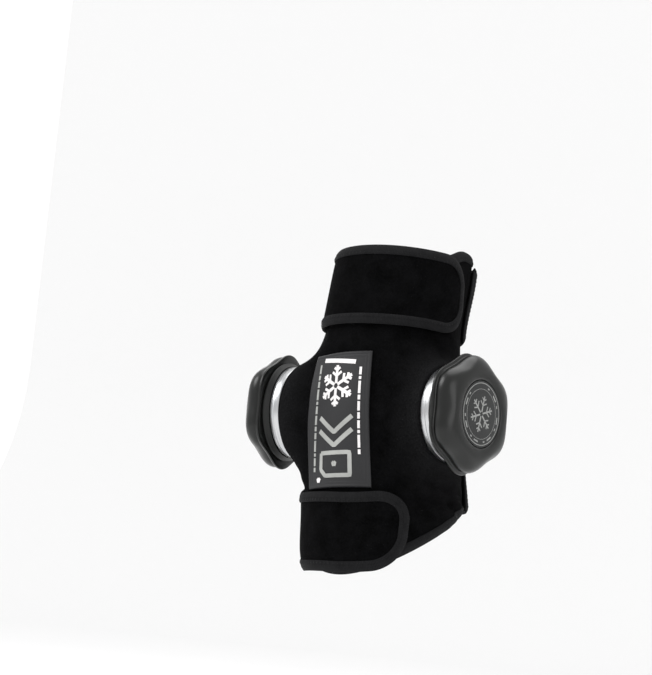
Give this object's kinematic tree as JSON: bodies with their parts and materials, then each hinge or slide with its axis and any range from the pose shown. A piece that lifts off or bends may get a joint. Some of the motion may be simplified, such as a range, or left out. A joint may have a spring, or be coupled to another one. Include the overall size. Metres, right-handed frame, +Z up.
{
  "type": "cold compression wrap",
  "caption": "Ankle sleeve closed by hook-and-loop straps, with a refillable ice bag and a threaded screw cap on each side for cold compression.",
  "frame": {"origin": "on the leg's axis, midway between the two bag necks", "axes": "+Z up the leg, -Y the back of the ankle, +Y the toes, +X the side of the right-hand cap as seen from behind"},
  "size_m": [0.171, 0.1248, 0.2216],
  "materials": {
    "loop_pile": "brushed loop pile on neoprene, deep black",
    "lining": "smooth knitted lining",
    "binding_tape": "woven elastic tape",
    "hook_tape": "hook tape",
    "patch_pvc": "soft moulded PVC with raised marks",
    "bag_cloth": "coated waterproof cloth",
    "ring_aluminium": "turned and satin brushed",
    "neck_plastic": "moulded",
    "cap_plastic": "moulded, semi-gloss",
    "badge_film": "printed film disc",
    "seal_rubber": "plain"
  },
  "bodies": {
    "wrap": {"outer_sleeve": "loop_pile", "inner_lining": "lining", "edge_binding": "binding_tape", "back_patch": "patch_pvc", "top_strap_root": "loop_pile", "top_strap_root_binding": "binding_tape", "bottom_strap_root": "loop_pile", "bottom_strap_root_binding": "binding_tape", "left_ice_bag": "bag_cloth", "left_neck": "neck_plastic", "left_clamp_ring": "ring_aluminium", "left_collar": "neck_plastic", "right_ice_bag": "bag_cloth", "right_neck": "neck_plastic", "right_clamp_ring": "ring_aluminium", "right_collar": "neck_plastic"},
    "top_strap": {"top_strap_flap": "loop_pile", "top_strap_flap_binding": "binding_tape", "top_strap_hook": "hook_tape"},
    "bottom_strap": {"bottom_strap_flap": "loop_pile", "bottom_strap_flap_binding": "binding_tape", "bottom_strap_hook": "hook_tape"},
    "left_seal": {"left_cap_seal": "seal_rubber"},
    "left_closure": {"left_cap": "cap_plastic", "left_cap_badge": "badge_film"},
    "right_seal": {"right_cap_seal": "seal_rubber"},
    "right_closure": {"right_cap": "cap_plastic", "right_cap_badge": "badge_film"}
  },
  "joints": [
    {"name": "top_strap_peel", "type": "hinge", "parent": "wrap", "child": "top_strap", "pos_m": [-0.04306, 0.00252, 0.08065], "axis": [-0.0728, -0.1063, -0.9917], "range_deg": [0, 100]},
    {"name": "bottom_strap_peel", "type": "hinge", "parent": "wrap", "child": "bottom_strap", "pos_m": [-0.04506, -0.00251, -0.07793], "axis": [0.0714, 0.0621, -0.9955], "range_deg": [0, 90]},
    {"name": "left_cap_rise", "type": "slide", "parent": "wrap", "child": "left_seal", "axis": [-0.9962, -0.0872, 0], "range_m": [0, 0.0101]},
    {"name": "left_cap_turn", "type": "hinge", "parent": "left_seal", "child": "left_closure", "pos_m": [-0.057, 0, 0], "axis": [-0.9962, -0.0872, 0], "range_deg": [0, 900]},
    {"name": "right_cap_rise", "type": "slide", "parent": "wrap", "child": "right_seal", "axis": [0.9962, -0.0872, 0], "range_m": [0, 0.0101]},
    {"name": "right_cap_turn", "type": "hinge", "parent": "right_seal", "child": "right_closure", "pos_m": [0.057, 0, 0], "axis": [0.9962, -0.0872, 0], "range_deg": [0, 900]}
  ],
  "couplings": [
    {"joint": "left_cap_rise", "follows": "left_cap_turn", "m_per_rad": 0.00063662},
    {"joint": "right_cap_rise", "follows": "right_cap_turn", "m_per_rad": 0.00063662}
  ]
}
